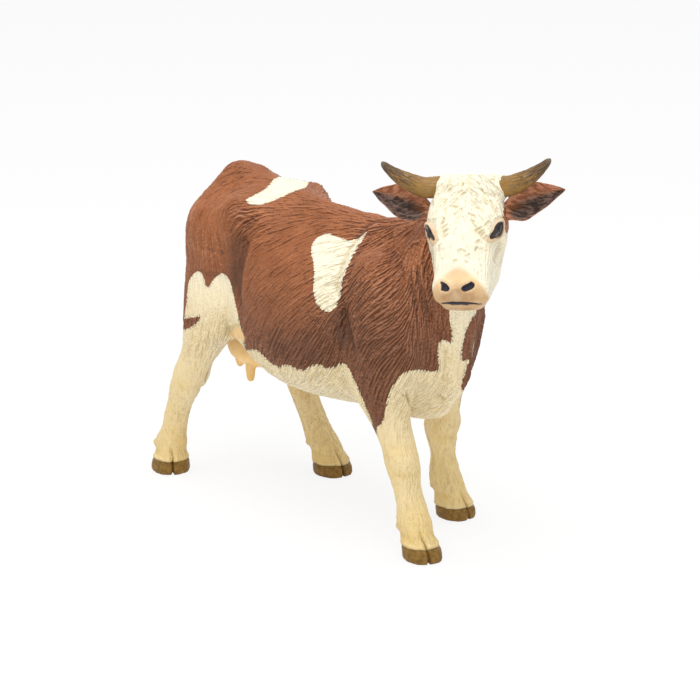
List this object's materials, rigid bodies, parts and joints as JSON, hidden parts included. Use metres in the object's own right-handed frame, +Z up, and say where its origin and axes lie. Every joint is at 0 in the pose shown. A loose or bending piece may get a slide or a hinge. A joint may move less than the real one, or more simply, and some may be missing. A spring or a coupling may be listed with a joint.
{
  "type": "toy farm animal figure",
  "caption": "Standing horned cow figure in brown and cream painted vinyl, head turned and bowed, walking stance, flat soles, for farmyard play and displays.",
  "frame": {"origin": "on the floor, under the middle of the figure's bounding box", "axes": "+X towards the head end, +Y towards the animal's left side, +Z up"},
  "size_m": [0.1244, 0.05, 0.1056],
  "materials": {
    "body_brown": "satin hand-painted vinyl",
    "cream": "satin hand-painted vinyl",
    "horn_tan": "satin hand-painted vinyl",
    "ear_brown": "satin hand-painted vinyl",
    "udder_peach": "satin hand-painted vinyl"
  },
  "bodies": {
    "root": {"torso": "body_brown", "head_and_neck": "cream", "leg_front_right": "cream", "leg_front_left": "cream", "leg_hind_right": "cream", "leg_hind_left": "cream", "horn_right": "horn_tan", "horn_left": "horn_tan", "ear_right": "ear_brown", "ear_left": "ear_brown", "udder": "udder_peach", "tail": "body_brown"}
  },
  "joints": []
}
